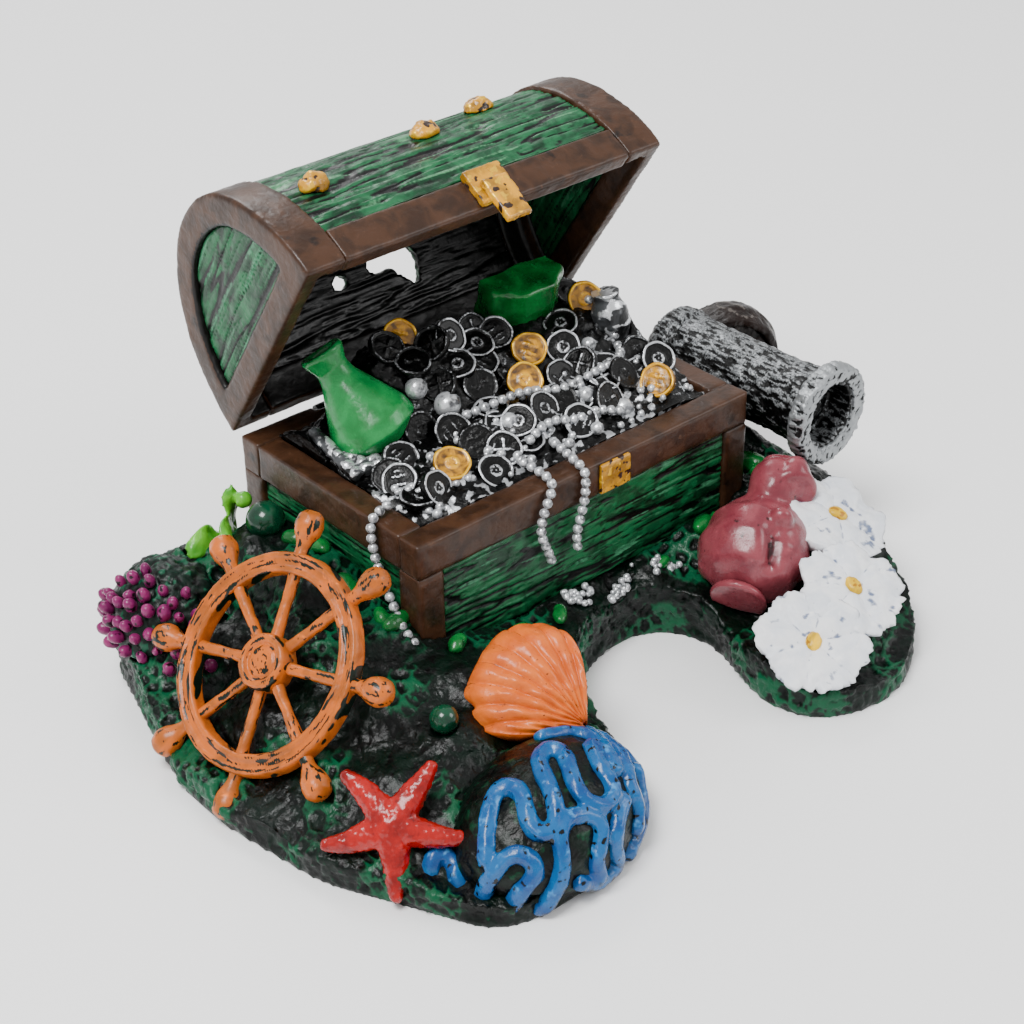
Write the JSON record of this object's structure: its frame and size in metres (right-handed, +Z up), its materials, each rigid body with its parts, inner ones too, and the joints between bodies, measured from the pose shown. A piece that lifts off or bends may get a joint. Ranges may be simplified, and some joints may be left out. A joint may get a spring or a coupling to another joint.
{
  "type": "bubbling aquarium ornament",
  "caption": "Painted resin aquarium ornament: an open treasure chest on a rock base, with a hinged lid that bubbles lift, and an air line in at the rear.",
  "frame": {"origin": "on the surface that the base stands on, below the middle of the rock base", "axes": "+X to the viewer's right along the chest's front, +Y to the rear, the way the air inlet points, +Z up"},
  "size_m": [0.138, 0.1065, 0.0772],
  "materials": {
    "air_stone_grey": "sintered grey-blue grit",
    "black_paint": "satin black",
    "blue_paint": "gloss blue over black",
    "brown_paint": "semi-gloss painted resin, dark rubbed brown",
    "clear_tube": "milky flexible tube",
    "gold_paint": "gold paint",
    "green_paint": "semi-gloss painted resin, sea green with black grain lines",
    "gunmetal": "black with silver dry-brushing",
    "lime_paint": "gloss lime green",
    "magenta_paint": "gloss magenta",
    "maroon_paint": "gloss maroon",
    "orange_paint": "gloss orange-brown, streaked dark",
    "pearl": "pearly silver-white",
    "red_paint": "gloss red",
    "rock_paint": "matt resin, near-black with dark green dry-brushing",
    "scallop_orange": "gloss orange with dark specks",
    "silver_paint": "silver dry-brushed over black",
    "steel": "stainless wire",
    "teal_paint": "gloss dark teal",
    "white_paint": "satin white",
    "yellow_paint": "satin yellow"
  },
  "bodies": {
    "base": {"air_inlet_nozzle": "clear_tube", "air_stone": "air_stone_grey", "air_tube": "clear_tube", "amphora_body": "maroon_paint", "amphora_foot": "maroon_paint", "amphora_handle": "maroon_paint", "blue_coral": "blue_paint", "cannon_barrel": "gunmetal", "cannon_muzzle_ring": "silver_paint", "chest_floor": "black_paint", "chest_knuckles": "gunmetal", "corner_posts": "brown_paint", "flower_1": "white_paint", "flower_2": "white_paint", "flower_3": "white_paint", "flower_centres": "yellow_paint", "front_pearls": "pearl", "front_planks": "green_paint", "gold_coins": "gold_paint", "green_gem": "teal_paint", "green_pearls": "teal_paint", "green_vase": "lime_paint", "heap_pearls": "pearl", "hinge_pin": "steel", "keg_head": "black_paint", "keg_staves": "brown_paint", "left_planks": "green_paint", "lock_plate": "gold_paint", "loose_pearls": "pearl", "polyp_mound": "rock_paint", "polyps": "magenta_paint", "rear_planks": "green_paint", "right_planks": "green_paint", "rim_rail_front": "brown_paint", "rim_rail_left": "brown_paint", "rim_rail_rear": "brown_paint", "rim_rail_right": "brown_paint", "rock_base": "rock_paint", "scallop_shell": "scallop_orange", "seaweed": "lime_paint", "silver_bundle": "silver_paint", "silver_coins": "silver_paint", "silver_jar": "silver_paint", "starfish": "red_paint", "treasure_heap": "black_paint", "wheel_handles": "orange_paint", "wheel_hub": "orange_paint", "wheel_rim": "orange_paint", "wheel_spokes": "orange_paint"},
    "lid": {"lid_frame_left": "brown_paint", "lid_frame_right": "brown_paint", "lid_panel_left": "green_paint", "lid_panel_right": "green_paint", "lid_planks": "green_paint", "lid_rail_front": "brown_paint", "lid_rail_rear": "brown_paint", "hasp_plate": "gold_paint", "hasp_tongue": "gold_paint", "lid_lumps": "gold_paint", "lid_knuckles": "gunmetal"}
  },
  "joints": [
    {"name": "lid_hinge", "type": "hinge", "parent": "base", "child": "lid", "pos_m": [0, 0.0413, 0.0313], "axis": [-1, 0, 0], "range_deg": [-53, 0]}
  ]
}
